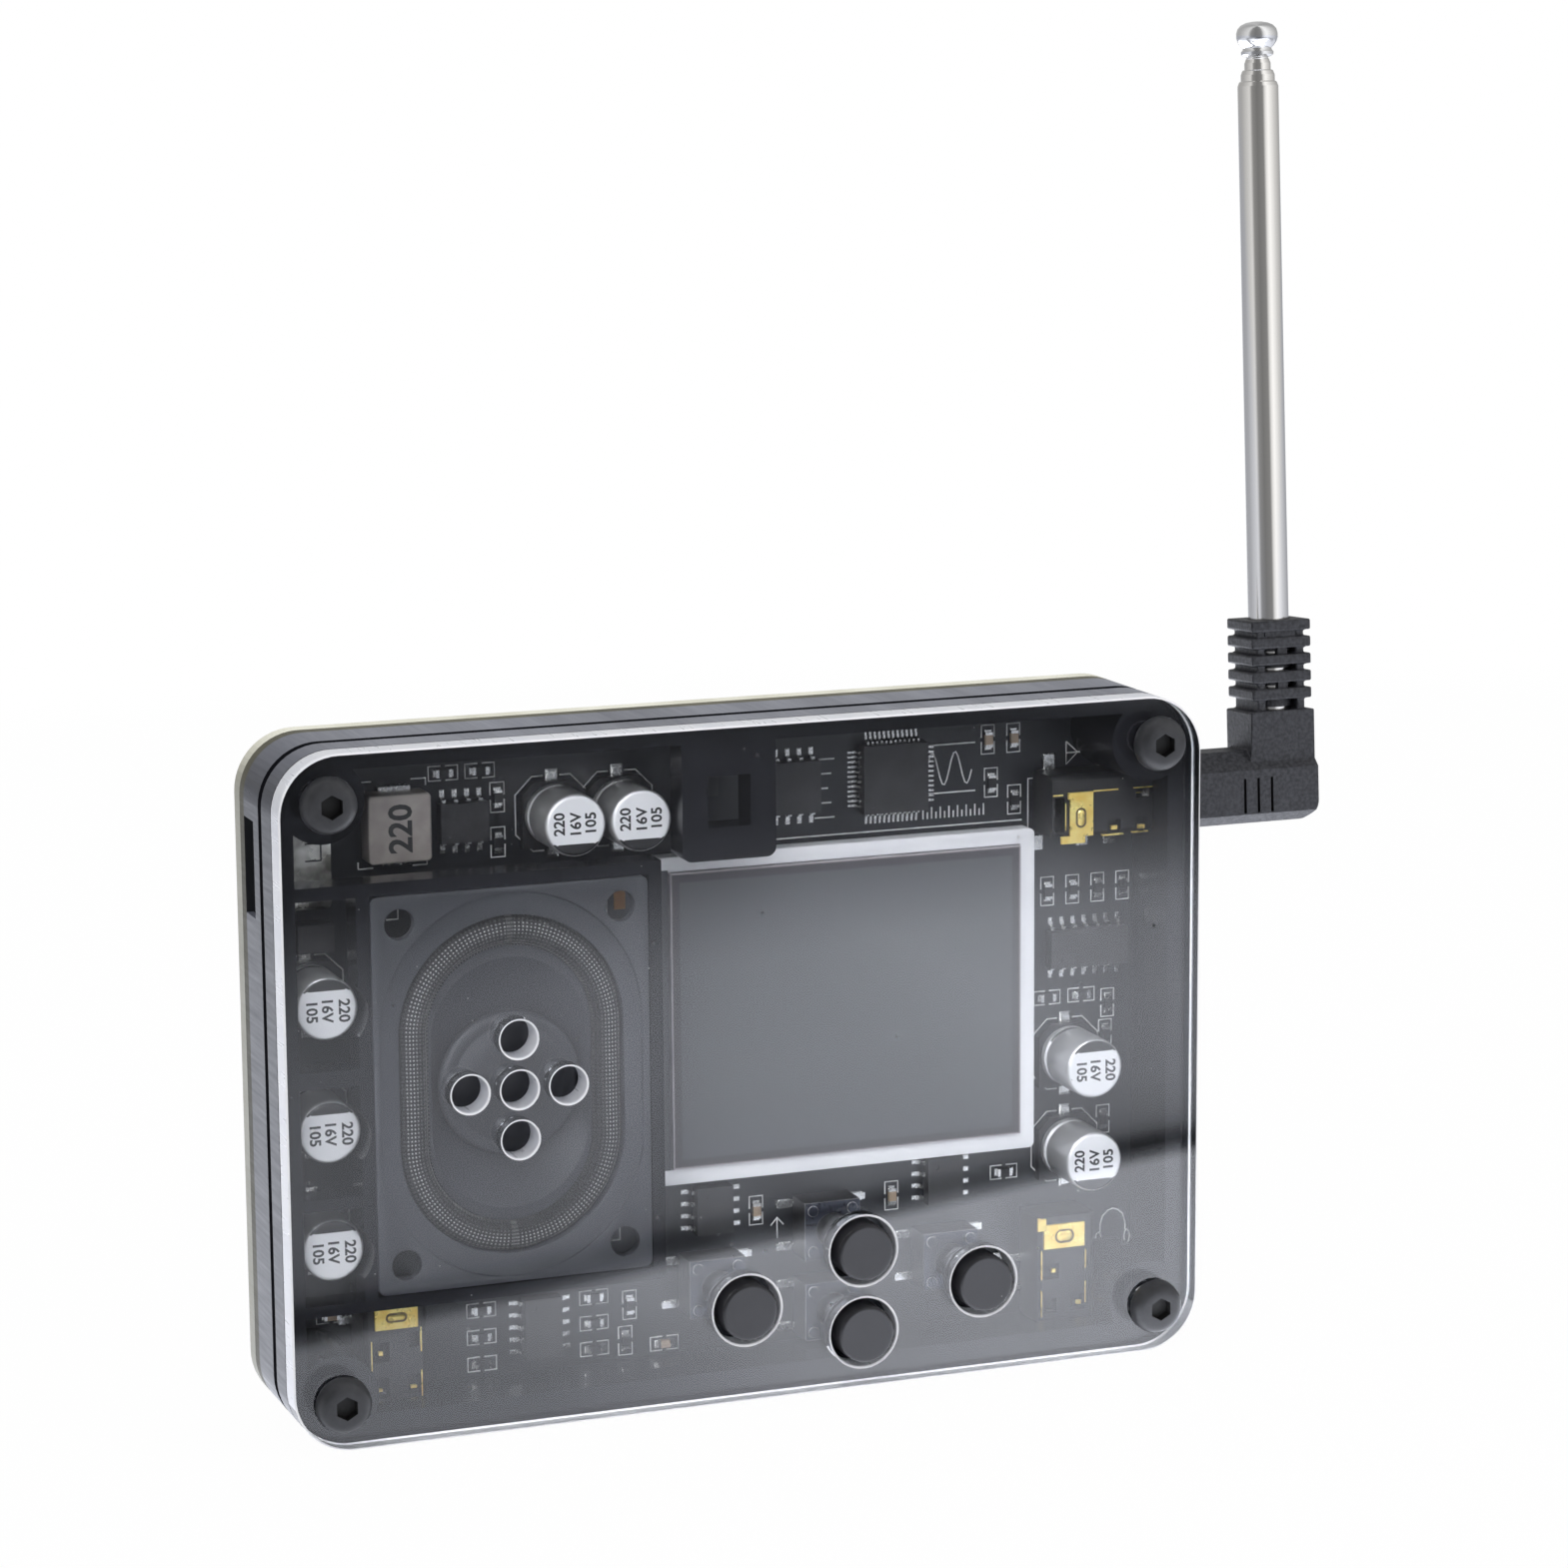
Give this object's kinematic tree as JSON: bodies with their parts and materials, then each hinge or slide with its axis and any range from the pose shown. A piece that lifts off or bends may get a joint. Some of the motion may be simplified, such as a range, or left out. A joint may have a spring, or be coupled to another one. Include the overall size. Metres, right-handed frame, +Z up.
{
  "type": "theremin",
  "caption": "Pocket theremin kit: stacked acrylic case with a clear front over its board, display, speaker and buttons, and a telescopic aerial on a right-angle plug.",
  "frame": {"origin": "middle of the case's bottom edge, at half the depth of the stack, on the surface that it stands on", "axes": "+X to the right seen from the front, +Y to the back, +Z up"},
  "size_m": [0.1134, 0.0214, 0.1353],
  "materials": {
    "clear_acrylic": "clear polished acrylic sheet",
    "black_acrylic": "black acrylic, polished edges",
    "smoked_acrylic": "dark smoked acrylic sheet",
    "circuit_board": "black solder mask on a cream glass-fibre board",
    "black_steel": "black oxide steel",
    "speaker_plastic": "moulded black plastic",
    "speaker_cloth": "black treated knit",
    "speaker_paper": "black pressed paper pulp",
    "plated_steel": "zinc plated steel",
    "magnet_ferrite": "sintered magnet",
    "coil_copper": "enamelled copper winding",
    "white_tray": "white moulded backlight tray",
    "display_glass": "dark polarised display panel",
    "chip_plastic": "black moulded epoxy",
    "foam": "black adhesive foam",
    "black_plastic": "black moulded plastic",
    "tinned_metal": "tinned terminals",
    "gilt_metal": "gilt spring strip",
    "socket_steel": "nickel plated drawn steel",
    "can_aluminium": "drawn aluminium can",
    "inductor_iron": "pressed iron powder",
    "tan_ceramic": "fired ceramic",
    "pin_metal": "nickel plated brass",
    "boot_rubber": "moulded soft black plastic",
    "antenna_metal": "nickel plated drawn tube"
  },
  "bodies": {
    "case": {"amplifier_chip": "chip_plastic", "antenna_jack": "black_plastic", "back_plate": "smoked_acrylic", "capacitor_bases": "black_plastic", "capacitor_cans": "can_aluminium", "capacitor_tabs": "tinned_metal", "case_nuts": "black_steel", "case_screws": "black_steel", "chip_capacitors": "tan_ceramic", "chip_leads": "tinned_metal", "chip_part_ends": "tinned_metal", "chip_resistors": "chip_plastic", "comparator_chips": "chip_plastic", "display_driver_chip": "chip_plastic", "display_foam_pad": "foam", "display_glass": "display_glass", "display_tray": "white_tray", "distance_sensor": "chip_plastic", "front_frame": "black_acrylic", "front_plate": "clear_acrylic", "headphone_jack": "black_plastic", "inductor_ends": "tinned_metal", "jack_contacts": "gilt_metal", "line_jack": "black_plastic", "main_board": "circuit_board", "memory_chip": "chip_plastic", "middle_sheet": "black_acrylic", "mixer_chip": "chip_plastic", "power_inductor": "inductor_iron", "processor_chip": "chip_plastic", "protection_diode": "chip_plastic", "rear_frame": "black_acrylic", "regulator_chip": "chip_plastic", "speaker_basket": "speaker_plastic", "speaker_cone": "speaker_paper", "speaker_dust_cap": "speaker_paper", "speaker_magnet": "magnet_ferrite", "speaker_pole_plate": "plated_steel", "speaker_surround": "speaker_cloth", "speaker_yoke": "plated_steel", "switch_bases": "black_plastic", "switch_covers": "black_plastic", "switch_legs": "tinned_metal", "usb_socket": "socket_steel", "usb_tongue": "black_plastic", "voice_coil": "coil_copper"},
    "plug": {"plug_pin": "pin_metal"},
    "aerial_base": {"plug_boot": "boot_rubber", "antenna_tube": "antenna_metal"},
    "section_two": {"antenna_section_two": "antenna_metal"},
    "section_three": {"antenna_section_three": "antenna_metal"},
    "tip": {"antenna_tip": "antenna_metal"},
    "key_back": {"button_back": "black_plastic", "plunger_back": "black_plastic"},
    "key_up": {"button_up": "black_plastic", "plunger_up": "black_plastic"},
    "key_down": {"button_down": "black_plastic", "plunger_down": "black_plastic"},
    "key_enter": {"button_enter": "black_plastic", "plunger_enter": "black_plastic"}
  },
  "joints": [
    {"name": "plug_pull", "type": "slide", "parent": "case", "child": "plug", "axis": [1, 0, 0], "range_m": [0, 0.0122]},
    {"name": "antenna_swivel", "type": "hinge", "parent": "plug", "child": "aerial_base", "pos_m": [0.0616, 0.0023, 0.0564], "axis": [1, 0, 0], "range_deg": [-86.1, 93.9]},
    {"name": "section_two_slide", "type": "slide", "parent": "aerial_base", "child": "section_two", "axis": [0, 0.068, 0.9977], "range_m": [0, 0.05]},
    {"name": "section_three_slide", "type": "slide", "parent": "section_two", "child": "section_three", "axis": [0, 0.068, 0.9977], "range_m": [0, 0.05]},
    {"name": "tip_slide", "type": "slide", "parent": "section_three", "child": "tip", "axis": [0, 0.068, 0.9977], "range_m": [0, 0.05]},
    {"name": "back_press", "type": "slide", "parent": "case", "child": "key_back", "axis": [0, 1, 0], "range_m": [0, 0.0003], "stiffness_N_per_m": 1200, "springref_m": -0.0005},
    {"name": "up_press", "type": "slide", "parent": "case", "child": "key_up", "axis": [0, 1, 0], "range_m": [0, 0.0003], "stiffness_N_per_m": 1200, "springref_m": -0.0005},
    {"name": "down_press", "type": "slide", "parent": "case", "child": "key_down", "axis": [0, 1, 0], "range_m": [0, 0.0003], "stiffness_N_per_m": 1200, "springref_m": -0.0005},
    {"name": "enter_press", "type": "slide", "parent": "case", "child": "key_enter", "axis": [0, 1, 0], "range_m": [0, 0.0003], "stiffness_N_per_m": 1200, "springref_m": -0.0005}
  ]
}
